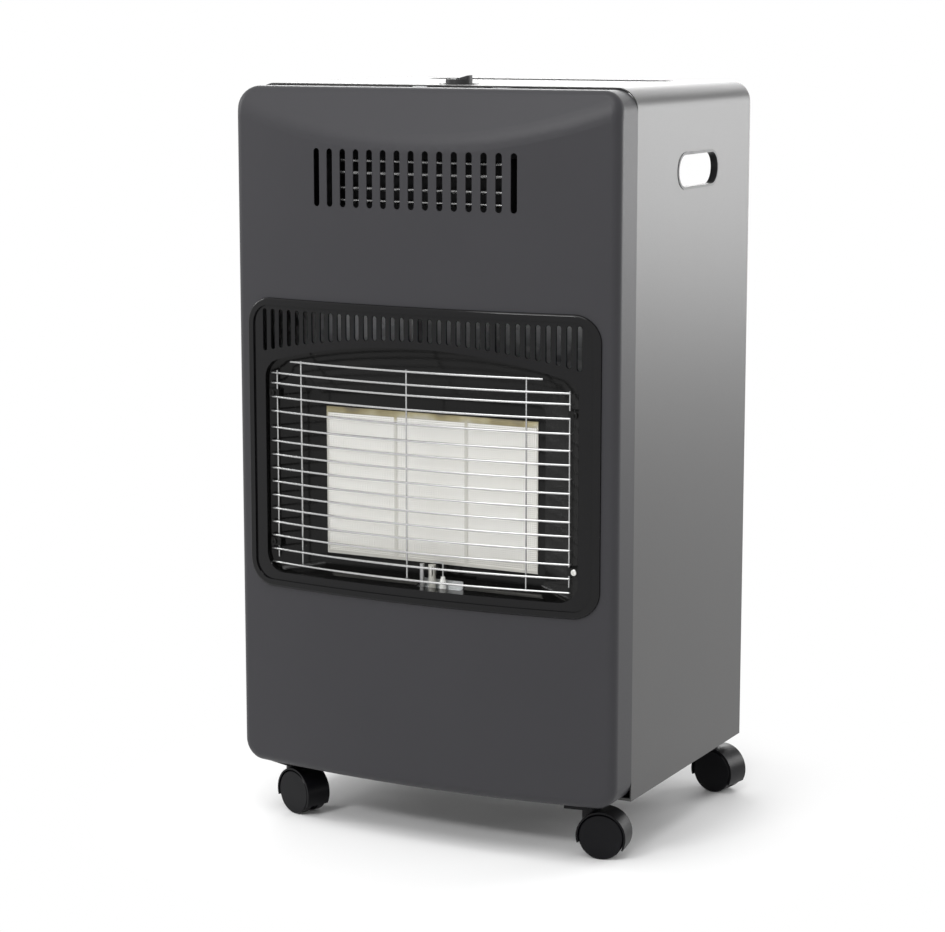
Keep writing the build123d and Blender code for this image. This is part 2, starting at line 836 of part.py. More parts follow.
with BuildPart() as electrode_insulator:
    with BuildSketch(Plane.XY.offset(pilot_foot - sheet - ceramic_below)):
        with Locations((ceramic_side, pilot_y)):
            Circle(ceramic_radius)
    extrude(amount=sheet + ceramic_below + ceramic_height / 2)
    with BuildSketch(Plane.XY.offset(pilot_foot + ceramic_height / 2)):
        with Locations((ceramic_side, pilot_y)):
            Circle(ceramic_radius)
    extrude(amount=ceramic_height / 2, taper=ceramic_taper)
save(electrode_insulator.part, "electrode_insulator")

spark_z = pilot_foot + ceramic_height
with BuildPart() as spark_electrode:
    add(
        pipe(
            [
                (ceramic_side, pilot_y, spark_z),
                (ceramic_side, pilot_y, pilot_top + spark_rise),
                (pilot_side + pilot_radius / 2, pilot_y, pilot_top + spark_rise),
            ],
            spark_bend,
            spark_radius,
        )
    )
save(spark_electrode.part, "spark_electrode")

# ---- gas valve under the roof with its bracket, hose tail and igniter
valve_y = seam_y + knob_back
valve_top_z = foot_z + valve_top
valve_foot_z = valve_top_z - valve_height
valve_back_y = valve_y + valve_deep / 2
with BuildPart() as gas_valve:
    with BuildSketch(Plane.XY.offset(valve_foot_z)):
        with Locations((0, valve_y)):
            Rectangle(valve_width, valve_deep)
    extrude(amount=valve_height)
    chamfer(gas_valve.edges().filter_by(Axis.Z), valve_corner)
    with BuildSketch(Plane.XY.offset(valve_top_z)):
        with Locations((0, valve_y)):
            Circle(gland_radius)
    extrude(amount=gland_height)
    with BuildSketch(Plane.XY.offset(valve_top_z + gland_height)):
        with Locations((0, valve_y)):
            Circle(spindle_radius + running)
    extrude(amount=-spindle_seat, mode=Mode.SUBTRACT)
    with BuildSketch(Plane.XY.offset(valve_foot_z)):
        with Locations((0, valve_y)):
            Circle(valve_deep / 2 - valve_corner)
    extrude(amount=-valve_cap)
save(gas_valve.part, "gas_valve")

roof_under_z = roof_z - sheet
with BuildPart() as valve_bracket:
    # a hat section: seat plate on the valve, two legs up to the roof, and feet turned outwards
    with BuildSketch(Plane.XZ.offset(-valve_y - bracket_deep / 2)):
        with BuildLine():
            Polyline(
                (-bracket_reach - flange, roof_under_z - sheet / 2),
                (-bracket_reach, roof_under_z - sheet / 2),
                (-bracket_reach, valve_top_z + sheet / 2),
                (bracket_reach, valve_top_z + sheet / 2),
                (bracket_reach, roof_under_z - sheet / 2),
                (bracket_reach + flange, roof_under_z - sheet / 2),
            )
            offset(amount=sheet / 2, side=Side.BOTH, kind=Kind.INTERSECTION)
        make_face()
    extrude(amount=bracket_deep)
    with BuildSketch(Plane.XY.offset(valve_top_z)):
        with Locations((0, valve_y)):
            Circle(gland_radius)
    extrude(amount=sheet, mode=Mode.SUBTRACT)
save(valve_bracket.part, "valve_bracket")

with BuildPart() as piezo_igniter:
    with BuildSketch(Plane.XY.offset(valve_top_z)):
        with Locations((igniter_side, valve_y)):
            Circle(igniter_radius)
    extrude(amount=-igniter_height)
    with BuildSketch(Plane.XY.offset(valve_top_z - igniter_height)):
        with Locations((igniter_side, valve_y)):
            Circle(lead_radius + sheet)
    extrude(amount=-igniter_boot)
save(piezo_igniter.part, "piezo_igniter")

tail_z = valve_foot_z + valve_height / 2
with BuildPart() as gas_inlet_tail:
    with BuildSketch(Plane.XZ.offset(-valve_back_y)):
        with Locations((0, tail_z)):
            RegularPolygon(tail_hex, 6)
    extrude(amount=-tail_nut)
    with BuildSketch(Plane.XZ.offset(-valve_back_y - tail_nut)):
        with Locations((0, tail_z)):
            Circle(tail_radius)
    extrude(amount=-tail_length)
    chamfer(gas_inlet_tail.edges().sort_by(Axis.Y)[-1], tail_radius / 4)
save(gas_inlet_tail.part, "gas_inlet_tail")

# ---- pipes and leads, each clipped up the front of the heat shield and over its top edge
pipe_y = seam_y - pipe_depth
pass_z = valve_foot_z + pass_rise
supply_pipe = pipe(
    [
        (-valve_width / 2, valve_y, tail_z),
        (supply_side, valve_y, tail_z),
        (supply_side, pipe_y, tail_z),
        (supply_side, pipe_y, manifold_z),
        (supply_side, tube_y + manifold_radius, manifold_z),
    ],
    2 * supply_radius,
    supply_radius,
)
save(supply_pipe, "supply_pipe")

feed_z = pilot_foot - sheet - feed_drop
pilot_tube = pipe(
    [
        (pilot_side, pilot_y, pilot_foot),
        (pilot_side, pilot_y, feed_z - feed_drop),
        (pilot_line_side, pilot_y, feed_z - feed_drop),
        (pilot_line_side, pipe_y, feed_z - feed_drop),
        (pilot_line_side, pipe_y, pass_z + feed_drop),
        (valve_line_side, pipe_y, pass_z + feed_drop),
        (valve_line_side, valve_y - valve_deep / 2, pass_z + feed_drop),
    ],
    2.4 * pilot_tube_radius,
    pilot_tube_radius,
)
save(pilot_tube, "pilot_tube")

probe_line = pipe(
    [
        (probe_side, pilot_y, pilot_foot - sheet),
        (probe_side, pilot_y, feed_z),
        (probe_line_side, pilot_y, feed_z),
        (probe_line_side, pipe_y, feed_z),
        (probe_line_side, pipe_y, pass_z),
        (-valve_line_side, pipe_y, pass_z),
        (-valve_line_side, valve_y - valve_deep / 2, pass_z),
    ],
    4 * probe_line_radius,
    probe_line_radius,
)
with BuildPart() as thermocouple:
    add(probe_line)
    with BuildSketch(Plane.XY.offset(pilot_foot - 2 * sheet)):
        with Locations((probe_side, pilot_y)):
            Circle(probe_radius)
    extrude(amount=2 * sheet + pilot_height)
    fillet(thermocouple.edges().filter_by(GeomType.CIRCLE).sort_by(Axis.Z)[-1], probe_radius / 2)
save(thermocouple.part, "thermocouple")

ceramic_foot = pilot_foot - sheet - ceramic_below
igniter_foot = valve_top_z - igniter_height - igniter_boot
ignition_lead = pipe(
    [
        (ceramic_side, pilot_y, ceramic_foot),
        (ceramic_side, pilot_y, feed_z),
        (lead_side, pilot_y, feed_z),
        (lead_side, pipe_y, feed_z),
        (lead_side, pipe_y, igniter_foot - feed_drop),
        (igniter_side, valve_y, igniter_foot - feed_drop),
        (igniter_side, valve_y, igniter_foot),
    ],
    2 * lead_radius,
    lead_radius,
)
save(ignition_lead, "ignition_lead")

# ---- knob dish in the roof, the sprung push collar, the spindle and the knob
dish_floor_z = roof_z - dish_depth
with BuildPart() as knob_dish:
    with BuildSketch(Plane.XY.offset(dish_floor_z - sheet)):
        with Locations((0, knob_y)):
            Circle(dish_radius)
    extrude(amount=dish_depth + sheet)
    with BuildSketch(Plane.XY.offset(roof_z)):
        with Locations((0, knob_y)):
            Circle(dish_radius + dish_lip)
    extrude(amount=dish_rise)
    with BuildSketch(Plane.XY.offset(dish_floor_z)):
        with Locations((0, knob_y)):
            Circle(dish_radius - dish_wall)
    extrude(amount=dish_depth + dish_rise, mode=Mode.SUBTRACT)
    with BuildSketch(Plane.XY.offset(dish_floor_z - sheet)):
        with Locations((0, knob_y)):
            Circle(spindle_radius + loose)
    extrude(amount=sheet, mode=Mode.SUBTRACT)
save(knob_dish.part, "knob_dish")

collar_foot_z = valve_top_z + gland_height + knob_travel + loose
with BuildPart() as push_collar:
    with BuildSketch(Plane.XY.offset(collar_foot_z)):
        with Locations((0, knob_y)):
            Circle(collar_radius)
            Circle(spindle_radius + running, mode=Mode.SUBTRACT)
    extrude(amount=collar_height)
save(push_collar.part, "push_collar")

knob_top_z = roof_z + knob_proud
knob_foot_z = knob_top_z - knob_height
spindle_top_z = knob_foot_z + knob_disc - knob_cap
with BuildPart() as valve_spindle:
    with BuildSketch(Plane.XY.offset(valve_top_z + gland_height - spindle_seat + knob_travel + loose)):
        with Locations((0, knob_y)):
            Circle(spindle_radius)
    extrude(amount=spindle_top_z - valve_top_z - gland_height + spindle_seat - knob_travel - loose)
    # flange that stands on the push collar
    with BuildSketch(Plane.XY.offset(collar_foot_z + collar_height + running)):
        with Locations((0, knob_y)):
            Circle(collar_radius)
    extrude(amount=sheet)
    # flat on the upper end, where the knob grips it
    with BuildSketch(Plane.XY.offset(knob_foot_z)):
        with Locations((spindle_flat, knob_y)):
            Rectangle(2 * spindle_radius, 2 * spindle_radius, align=(Align.MIN, Align.CENTER))
    extrude(amount=knob_height, mode=Mode.SUBTRACT)
save(valve_spindle.part, "valve_spindle")

with BuildPart() as control_knob:
    # a low disc with a wedge-shaped finger bar that rises towards one side
    with BuildSketch(Plane.XY.offset(knob_foot_z)):
        with Locations((0, knob_y)):
            Circle(knob_radius)
    extrude(amount=knob_disc)
    with BuildSketch(Plane.XZ.offset(-knob_y - knob_bar / 2)):
        with BuildLine():
            Polyline(
                (-knob_edge, knob_foot_z + knob_disc - knob_edge),
                (-knob_edge, knob_foot_z + knob_disc),
                (knob_radius, knob_top_z),
                (knob_radius, knob_foot_z + knob_disc - knob_edge),
                close=True,
            )
        make_face()
    extrude(amount=knob_bar)
    with BuildSketch(Plane.XY.offset(knob_foot_z)):
        with Locations((0, knob_y)):
            Circle(knob_radius)
    extrude(amount=knob_height, mode=Mode.INTERSECT)
    with BuildSketch(Plane.XY.offset(knob_foot_z)):
        with Locations((0, knob_y)):
            Circle(spindle_radius)
        with Locations((spindle_flat, knob_y)):
            Rectangle(
                2 * spindle_radius,
                2 * spindle_radius,
                align=(Align.MIN, Align.CENTER),
                mode=Mode.SUBTRACT,
            )
    extrude(amount=knob_disc - knob_cap, mode=Mode.SUBTRACT)
save(control_knob.part, "control_knob")

# ---- base plate, lying on the foot flanges and on the front panel's foot, with air slots
front_reach = edge_depth - face_blend
with BuildPart() as base_plate:
    with BuildSketch(Plane.XY.offset(base_z)):
        with Locations((0, seam_y)):
            Rectangle(2 * inner_half, side_depth - sheet, align=(Align.CENTER, Align.MIN))
            Rectangle(2 * (half_width - corner_radius), front_reach, align=(Align.CENTER, Align.MAX))
        with Locations((0, (shield_y + back_y) / 2)):
            with GridLocations(base_slot_pitch, base_slot_spread, 3, 2):
                SlotOverall(base_slot_length, base_slot_width, mode=Mode.SUBTRACT)
        for place, x, y, heading in castor_places():
            with Locations((x, y)):
                Circle(stem_radius + running, mode=Mode.SUBTRACT)
    extrude(amount=base_thick)
save(base_plate.part, "base_plate")

with BuildPart() as castor_sockets:
    for place, x, y, heading in castor_places():
        with BuildSketch(Plane.XY.offset(floor_z)):
            with Locations((x, y)):
                Circle(stem_radius + running + socket_wall)
                Circle(stem_radius + running, mode=Mode.SUBTRACT)
        extrude(amount=stem_length)
save(castor_sockets.part, "castor_sockets")

with BuildPart() as base_screws:
    for side in (-1, 1):
        for along in base_screw_shares:
            with BuildSketch(Plane.XY.offset(foot_z)):
                with Locations((side * (half_width - flange / 2), seam_y + along * side_depth)):
                    Circle(screw_head)
            extrude(amount=-screw_rise)
save(base_screws.part, "base_screws")

# ---- rear panel: a shallow tray that slides up in the channels at the back of the shell
panel_foot_z = floor_z + loose
panel_half = half_width - sheet - loose
rear_front_y = guide_y + sheet + (guide_gap - rear_sheet) / 2
with BuildPart() as rear_panel:
    with BuildSketch(Plane.XZ.offset(-rear_front_y)):
        with Locations((0, panel_foot_z)):
            Rectangle(2 * panel_half, rear_height, align=(Align.CENTER, Align.MIN))
        with Locations((0, panel_foot_z + rear_height - grip_drop)):
            SlotOverall(grip_length, grip_width, mode=Mode.SUBTRACT)
        with Locations((0, panel_foot_z + rear_height / 3)):
            with GridLocations(base_slot_pitch, base_slot_width * 3, 3, 4):
                SlotOverall(base_slot_length, base_slot_width, mode=Mode.SUBTRACT)
    extrude(amount=-rear_sheet)
    # folds along the top and bottom edges
    for height in (panel_foot_z, panel_foot_z + rear_height - rear_sheet):
        with BuildSketch(Plane.XY.offset(height)):
            with Locations((0, rear_front_y + rear_sheet)):
                Rectangle(2 * (half_width - sheet - flange - 1), rear_fold, align=(Align.CENTER, Align.MAX))
        extrude(amount=rear_sheet)
save(rear_panel.part, "rear_panel")


def castor_point(x, y, heading):
    # a plane on the floor whose x axis points the way the castor trails
    return Plane(origin=(x, y, 0), x_dir=Vector(1, 0, 0).rotate(Axis.Z, heading), z_dir=(0, 0, 1))


def standing(plane, across):
    # the upright plane along the castor's trail, moved sideways by across
    return Plane(origin=plane.from_local_coords((0, across, 0)), x_dir=plane.x_dir, z_dir=-plane.y_dir)


# ---- castors: a hooded body on a stem, and two wheels pressed on one axle
neck_z = base_z - loose
lever_z = neck_z - lever_drop
lever_half = boss_radius + loose + lever_arm
trunnion_reach = lever_half - loose
braked = ("front_left", "front_right")
well_radius = hood_radius - hood_wall
for place, x, y, heading in castor_places():
    ground = castor_point(x, y, heading)
    with BuildPart() as castor_hood:
        with BuildSketch(standing(ground, -hood_width / 2)):
            with Locations((castor_trail, wheel_radius)):
                Circle(hood_radius)
            with BuildLine():
                # what is open below, from the trailing edge to the leading edge
                Polyline(
                    (castor_trail, wheel_radius),
                    (castor_trail + 2 * hood_radius, wheel_radius - 2 * hood_radius * hood_trail_drop),
                    (castor_trail + 2 * hood_radius, -hood_radius),
                    (castor_trail - 2 * hood_radius, -hood_radius),
                    (castor_trail - 2 * hood_radius, wheel_radius - 2 * hood_radius * hood_lead_drop),
                    close=True,
                )
            make_face(mode=Mode.SUBTRACT)
            with Locations((castor_trail, wheel_radius)):
                Circle(hub_radius)
        extrude(amount=-hood_width)
        with BuildSketch(Plane(origin=(x, y, neck_z), z_dir=(0, 0, 1))):
            Circle(boss_radius)
        extrude(amount=wheel_radius - neck_z)
        for across in (-hood_width / 2, web_thick / 2):
            with BuildSketch(standing(ground, across)):
                with Locations((castor_trail, wheel_radius)):
                    Circle(well_radius)
            extrude(amount=-(hood_width - web_thick) / 2, mode=Mode.SUBTRACT)
        with BuildSketch(standing(ground, -hood_width / 2)):
            with Locations((castor_trail, wheel_radius)):
                Circle(axle_radius + running)
        extrude(amount=-hood_width, mode=Mode.SUBTRACT)
        if place in braked:
            # trunnions for the brake lever
            with BuildSketch(standing(ground, -trunnion_reach)):
                with Locations((0, lever_z)):
                    Circle(trunnion_radius)
            extrude(amount=-2 * trunnion_reach)
        with BuildSketch(Plane(origin=(x, y, stem_foot), z_dir=(0, 0, 1))):
            Circle(stem_radius)
        extrude(amount=castor_lift, mode=Mode.SUBTRACT)
    save(castor_hood.part, f"castor_hood_{place}")

    with BuildPart() as castor_stem:
        with BuildSketch(Plane(origin=(x, y, stem_foot), z_dir=(0, 0, 1))):
            Circle(stem_radius)
        extrude(amount=floor_z + stem_length - stem_foot)
        chamfer(castor_stem.edges().sort_by(Axis.Z)[-1], stem_radius / 4)
    save(castor_stem.part, f"castor_stem_{place}")

    axle_half = hood_width / 2 - axle_short
    with BuildPart() as castor_axle:
        with BuildSketch(standing(ground, -axle_half)):
            with Locations((castor_trail, wheel_radius)):
                Circle(axle_radius)
        extrude(amount=-2 * axle_half)
    save(castor_axle.part, f"castor_axle_{place}")

    with BuildPart() as castor_wheels:
        for flip in (-1, 1):
            outer = hood_width / 2 - loose
            with BuildSketch(standing(ground, flip * outer)):
                with Locations((castor_trail, wheel_radius)):
                    Circle(wheel_radius)
            extrude(amount=flip * wheel_width)
        chamfer(castor_wheels.edges().filter_by(GeomType.CIRCLE), wheel_edge)
        with BuildSketch(standing(ground, -axle_half)):
            with Locations((castor_trail, wheel_radius)):
                Circle(axle_radius)
        extrude(amount=-2 * axle_half, mode=Mode.SUBTRACT)
    save(castor_wheels.part, f"castor_wheels_{place}")

    if place in braked:
        with BuildPart() as brake_lever:
            deck = Plane(origin=(x, y, lever_z - lever_thick / 2), x_dir=ground.x_dir, z_dir=(0, 0, 1))
            with BuildSketch(deck):
                with Locations((lever_heel, 0)):
                    Rectangle(lever_length, 2 * lever_half, align=(Align.MAX, Align.CENTER))
                Circle(boss_radius + lever_gap, mode=Mode.SUBTRACT)
                Rectangle(
                    lever_length,
                    2 * (boss_radius + lever_gap),
                    align=(Align.MIN, Align.CENTER),
                    mode=Mode.SUBTRACT,
                )
            extrude(amount=lever_thick)
            with BuildSketch(deck):
                with Locations((lever_heel - lever_length, 0)):
                    Rectangle(lever_lip, 2 * lever_half, align=(Align.MIN, Align.CENTER))
            extrude(amount=lever_thick + lever_rise)
            tip = brake_lever.faces().sort_by(Axis((x, y, 0), ground.x_dir))[0]
            fillet(tip.edges().filter_by(Axis.Z), lever_corner)
            with BuildSketch(standing(ground, -lever_half)):
                with Locations((0, lever_z)):
                    Circle(trunnion_radius + running)
            extrude(amount=-2 * lever_half, mode=Mode.SUBTRACT)
        save(brake_lever.part, f"brake_lever_{place}")
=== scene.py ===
import json
import math

import bmesh
import bpy
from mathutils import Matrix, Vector


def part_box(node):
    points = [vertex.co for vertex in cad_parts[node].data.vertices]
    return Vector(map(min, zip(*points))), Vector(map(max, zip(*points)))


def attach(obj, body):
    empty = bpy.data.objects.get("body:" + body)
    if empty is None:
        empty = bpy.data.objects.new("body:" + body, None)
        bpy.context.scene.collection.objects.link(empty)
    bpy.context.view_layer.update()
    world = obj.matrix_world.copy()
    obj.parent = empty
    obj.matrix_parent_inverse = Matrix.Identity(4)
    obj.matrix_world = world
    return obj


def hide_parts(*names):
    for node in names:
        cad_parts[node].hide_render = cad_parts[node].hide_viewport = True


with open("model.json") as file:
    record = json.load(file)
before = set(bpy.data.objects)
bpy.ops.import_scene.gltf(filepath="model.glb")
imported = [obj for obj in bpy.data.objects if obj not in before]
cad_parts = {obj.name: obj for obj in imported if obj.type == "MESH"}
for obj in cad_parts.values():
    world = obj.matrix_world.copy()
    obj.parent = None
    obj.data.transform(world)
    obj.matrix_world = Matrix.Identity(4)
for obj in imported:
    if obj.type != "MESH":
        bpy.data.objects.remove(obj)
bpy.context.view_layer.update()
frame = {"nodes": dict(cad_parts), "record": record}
mm = 0.001


# ---- shader maths: a wire carries a socket, and Python's operators add its Math nodes
class Wire:
    def __init__(self, finish, socket):
        self.finish = finish
        self.socket = socket

    def maths(self, operation, *others):
        values = dict(enumerate((self,) + others))
        return self.finish.node("Math", {"operation": operation}, values)

    def flipped(self, operation, other):
        return self.finish.node("Math", {"operation": operation}, {0: other, 1: self})

    def __add__(self, other):
        return self.maths("ADD", other)

    def __sub__(self, other):
        return self.maths("SUBTRACT", other)

    def __rsub__(self, other):
        return self.flipped("SUBTRACT", other)

    def __mul__(self, other):
        return self.maths("MULTIPLY", other)

    def __truediv__(self, other):
        return self.maths("DIVIDE", other)

    __radd__ = __add__
    __rmul__ = __mul__


class Finish:
    def __init__(self, name):
        self.material = bpy.data.materials.new(name)
        self.material.use_nodes = True
        self.tree = self.material.node_tree
        self.tree.nodes.clear()
        output = self.tree.nodes.new("ShaderNodeOutputMaterial")
        self.shader = self.tree.nodes.new("ShaderNodeBsdfPrincipled")
        self.tree.links.new(self.shader.outputs[0], output.inputs["Surface"])
        self.place = self.node("TexCoord", {}, {}, "Object")

    def node(self, kind, settings, values, result=0):
        made = self.tree.nodes.new("ShaderNode" + kind)
        for key, value in settings.items():
            if key == "stops":
                ramp = made.color_ramp
                ramp.elements[0].position, ramp.elements[0].color = value[0]
                ramp.elements[-1].position, ramp.elements[-1].color = value[-1]
                for share, tone in value[1:-1]:
                    ramp.elements.new(share).color = tone
            else:
                setattr(made, key, value)
        for key, value in values.items():
            self.feed(made.inputs[key], value)
        return Wire(self, made.outputs[result])

    def feed(self, socket, value):
        if isinstance(value, Wire):
            self.tree.links.new(value.socket, socket)
        else:
            socket.default_value = value

    def noise(self, scale, detail=3.0, stretch=None):
        spot = self.place
        if stretch:
            spot = self.node("Mapping", {}, {"Vector": self.place, "Scale": stretch})
        return self.node("TexNoise", {}, {"Vector": spot, "Scale": scale, "Detail": detail}, "Fac")

    def axes(self):
        split = self.node("SeparateXYZ", {}, {"Vector": self.place}).socket.node
        return [Wire(self, split.outputs[i]) for i in range(3)]

    def step(self, value, low, high):
        # 0 below low, 1 above high, smooth between them
        return self.node(
            "MapRange",
            {"interpolation_type": "SMOOTHSTEP"},
            {"Value": value, "From Min": low, "From Max": high},
        )

    def blend(self, share, low, high):
        return self.node("Mix", {"data_type": "RGBA"}, {0: share, 6: low, 7: high}, 2)

    def bump(self, height, strength, distance):
        return self.node("Bump", {}, {"Height": height, "Strength": strength, "Distance": distance})

    def set(self, values):
        for key, value in values.items():
            self.feed(self.shader.inputs[key], value)
        return self.material


def tone(colour, share=1.0):
    return tuple(channel * share for channel in colour) + (1.0,)


# ---- finishes, each with the values that a user would change
def paintedSteel(name, look):
    finish = Finish(name)
    grain = finish.noise(look["grainScale"], 4.0)
    cloud = finish.noise(look["cloudScale"], 2.0)
    dents = finish.noise(look["dentScale"], 1.0)
    dark, light = (tone(look["colour"], 1 + side * look["uneven"]) for side in (-1, 1))
    colour = finish.blend(cloud, dark, light)
    relief = finish.bump(grain, look["grainStrength"], look["grainDepth"])
    wavy = finish.node(
        "Bump",
        {},
        {"Height": dents, "Strength": look["dentStrength"], "Distance": look["dentDepth"], "Normal": relief},
    )
    rough = look["rough"] + (grain - 0.5) * look["roughUneven"]
    return finish.set(
        {"Base Color": colour, "Roughness": rough, "Normal": wavy, "Specular IOR Level": look["shine"]}
    )


casePaint = {
    "colour": (0.027, 0.0265, 0.030),
    "uneven": 0.06,
    "rough": 0.46,
    "roughUneven": 0.10,
    "shine": 0.30,
    "grainScale": 1100.0,
    "grainStrength": 0.35,
    "grainDepth": 0.00012,
    "cloudScale": 9.0,
    "dentScale": 5.0,
    "dentStrength": 0.12,
    "dentDepth": 0.0012,
}
# painted light: the side paint is the case paint made lighter, a lit copy of the same paint for the brighter
# light on the sides
litSidePaint = dict(
    casePaint,
    colour=(0.042, 0.0415, 0.041),
    rough=0.40,
    shine=0.50,
    grainStrength=0.22,
    dentScale=4.0,
    dentStrength=0.30,
    dentDepth=0.0020,
)
# painted shade: the baffle behind the vent slots is made near black, darker than the case paint, so the slots
# read dark
shadedBafflePaint = dict(casePaint, colour=(0.010, 0.010, 0.011), rough=0.62, shine=0.25)


def glossEnamel(name, look):
    finish = Finish(name)
    peel = finish.noise(look["peelScale"], 2.0)
    haze = finish.noise(look["hazeScale"], 3.0)
    colour = finish.blend(haze, tone(look["colour"], look["darkest"]), tone(look["colour"], look["lightest"]))
    rough = look["rough"] + haze * look["roughUneven"]
    return finish.set(
        {
            "Base Color": colour,
            "Roughness": rough,
            "Normal": finish.bump(peel, look["peelStrength"], look["peelDepth"]),
            "Specular IOR Level": look["shine"],
        }
    )


bezelGloss = {
    "colour": (0.0045, 0.0044, 0.0048),
    "darkest": 0.8,
    "lightest": 1.25,
    "rough": 0.07,
    "roughUneven": 0.06,
    "shine": 0.22,
    "peelScale": 420.0,
    "peelStrength": 0.10,
    "peelDepth": 0.0003,
    "hazeScale": 14.0,
}
trayEnamel = dict(
    bezelGloss,
    colour=(0.0040, 0.0039, 0.0038),
    rough=0.10,
    shine=0.21,
    peelScale=300.0,
    peelStrength=0.16,
)


def brightMetal(name, look):
    finish = Finish(name)
    fine = finish.noise(look["fineScale"], 3.0, look.get("stretch"))
    cloud = finish.noise(look["cloudScale"], 2.0)
    colour = finish.blend(cloud, tone(look["dull"]), tone(look["colour"]))
    rough = look["rough"] + fine * look["roughUneven"]
    return finish.set(
        {
            "Base Color": colour,
            "Metallic": 1.0,
            "Roughness": rough,
            "Normal": finish.bump(fine, look["fineStrength"], look["fineDepth"]),
        }
    )


guardChrome = {
    "colour": (0.58, 0.58, 0.58),
    "dull": (0.42, 0.42, 0.42),
    "rough": 0.20,
    "roughUneven": 0.12,
    "fineScale": 900.0,
    "fineStrength": 0.10,
    "fineDepth": 0.0001,
    "cloudScale": 30.0,
}
# painted highlight: a near-white steel that makes the lower right screw head read bright
screwSteel = dict(guardChrome, colour=(0.86, 0.86, 0.84), dull=(0.60, 0.59, 0.56), rough=0.24)
stemSteel = dict(guardChrome, colour=(0.55, 0.55, 0.55), dull=(0.38, 0.38, 0.38), rough=0.30)
valveAlloy = dict(
    guardChrome,
    colour=(0.60, 0.60, 0.59),
    dull=(0.46, 0.46, 0.45),
    rough=0.46,
    fineScale=700.0,
    fineStrength=0.5,
)
pipeAluminium = dict(
    guardChrome, colour=(0.74, 0.74, 0.74), dull=(0.60, 0.60, 0.60), rough=0.32, stretch=(1.0, 1.0, 0.05)
)
turnedBrass = dict(
    guardChrome, colour=(0.74, 0.55, 0.24), dull=(0.52, 0.36, 0.14), rough=0.26, stretch=(0.05, 0.05, 1.0)
)


def zincSheet(name, look):
    finish = Finish(name)
    spangle = finish.node("TexVoronoi", {}, {"Vector": finish.place, "Scale": look["spangleScale"]}, "Color")
    shade = finish.node("SeparateColor", {}, {"Color": spangle})
    fine = finish.noise(look["fineScale"], 2.0)
    return finish.set(
        {
            "Base Color": finish.blend(shade, tone(look["dull"]), tone(look["colour"])),
            "Metallic": look["metal"],
            "Roughness": look["rough"] + shade * look["roughUneven"],
            "Normal": finish.bump(fine, look["fineStrength"], look["fineDepth"]),
        }
    )


plateZinc = {
    "colour": (0.62, 0.63, 0.63),
    "dull": (0.44, 0.45, 0.46),
    "rough": 0.34,
    "roughUneven": 0.16,
    "metal": 0.9,
    "spangleScale": 110.0,
    "fineScale": 800.0,
    "fineStrength": 0.15,
    "fineDepth": 0.0001,
}


def heatedSteel(name, look):
    # bare steel that heat has darkened towards its top
    finish = Finish(name)
    up = finish.axes()[2]
    wander = finish.noise(look["wanderScale"], 3.0)
    heat = finish.step(up + (wander - 0.5) * look["wander"], look["tintLow"], look["tintHigh"])
    tints = finish.node("ValToRGB", {"stops": look["tints"]}, {"Fac": heat})
    fine = finish.noise(look["fineScale"], 3.0)
    return finish.set(
        {
            "Base Color": tints,
            "Metallic": look["metal"],
            "Roughness": look["rough"] + fine * look["roughUneven"],
            "Normal": finish.bump(fine, look["fineStrength"], look["fineDepth"]),
        }
    )


burnerSteel = {
    "metal": 0.85,
    "rough": 0.36,
    "roughUneven": 0.2,
    "fineScale": 600.0,
    "fineStrength": 0.2,
    "fineDepth": 0.0001,
    "wanderScale": 22.0,
    "wander": 0.05,
    "tintLow": 0.410,
    "tintHigh": 0.440,
    "tints": [
        (0.0, (0.60, 0.59, 0.55, 1.0)),
        (0.35, (0.42, 0.38, 0.25, 1.0)),
        (0.65, (0.30, 0.26, 0.15, 1.0)),
        (1.0, (0.13, 0.12, 0.11, 1.0)),
    ],
}


def perforatedCeramic(name, look, frontY):
    # painted shade: the floors of the holes lie behind the face, and their colour is darkened by that depth
    # alone
    finish = Finish(name)
    along, up = finish.axes()[1:]
    paintedHoleShade = finish.step(along, frontY + look["shadeFrom"], frontY + look["shadeTo"])
    chalk = finish.noise(look["chalkScale"], 4.0)
    cloud = finish.noise(look["cloudScale"], 2.0)
    face = finish.blend(cloud, tone(look["colour"]), tone(look["warm"]))
    # the plaques' colour turns darker and greyer towards their foot, below a wandering height
    footDarkening = 1 - finish.step(up + (cloud - 0.5) * look["footDarkeningWander"], look["footDarkeningLow"], look["footDarkeningHigh"])
    footDarkened = finish.blend(footDarkening * look["footDarkeningShare"], face, tone(look["footDarkening"]))
    # painted shade: the floors of the holes take the darker hole colour
    colour = finish.blend(paintedHoleShade, footDarkened, tone(look["hole"]))
    return finish.set(
        {
            "Base Color": colour,
            "Roughness": look["rough"] + chalk * look["roughUneven"],
            "Normal": finish.bump(chalk, look["chalkStrength"], look["chalkDepth"]),
            "Specular IOR Level": look["shine"],
        }
    )


plaqueCeramic = {
    "colour": (0.80, 0.795, 0.77),
    "warm": (0.78, 0.77, 0.725),
    "footDarkening": (0.50, 0.48, 0.42),
    # painted shade: the colour given to the floors of the holes
    "hole": (0.28, 0.27, 0.235),
    "shadeFrom": 0.0002,
    "shadeTo": 0.0007,
    "rough": 0.78,
    "roughUneven": 0.14,
    "shine": 0.3,
    "chalkScale": 1400.0,
    "chalkStrength": 0.3,
    "chalkDepth": 0.0002,
    "cloudScale": 26.0,
    # where and how strongly the plaques turn darker and greyer towards their foot
    "footDarkeningLow": 0.282,
    "footDarkeningHigh": 0.300,
    "footDarkeningWander": 0.012,
    "footDarkeningShare": 0.30,
}


